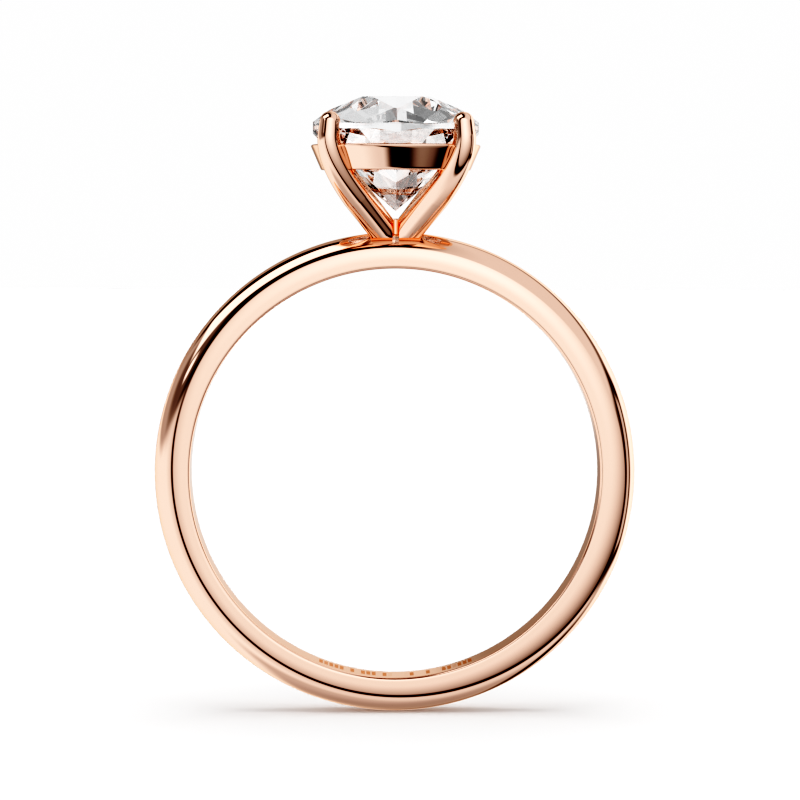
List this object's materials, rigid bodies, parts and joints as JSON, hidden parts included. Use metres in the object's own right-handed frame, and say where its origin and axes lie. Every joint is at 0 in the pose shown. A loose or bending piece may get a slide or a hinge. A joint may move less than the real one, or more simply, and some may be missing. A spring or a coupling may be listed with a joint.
{
  "type": "engagement ring",
  "caption": "Polished rose-gold finger ring with a plain domed band and a raised claw head holding a cushion-cut stone.",
  "frame": {"origin": "centre of the finger hole, midway between the band's two sides", "axes": "+Z from the finger hole's centre through the stone, +Y along the finger, +X across the finger; the viewer in front of the ring looks along +Y"},
  "size_m": [0.0194, 0.0068, 0.0248],
  "materials": {
    "rose_gold": "mirror-polished rose gold",
    "stone": "clear faceted stone"
  },
  "bodies": {
    "root": {"shank": "rose_gold", "head_peg": "rose_gold", "claw_front_left": "rose_gold", "claw_front_right": "rose_gold", "claw_back_left": "rose_gold", "claw_back_right": "rose_gold", "gallery_rail": "rose_gold", "centre_stone": "stone"}
  },
  "joints": []
}
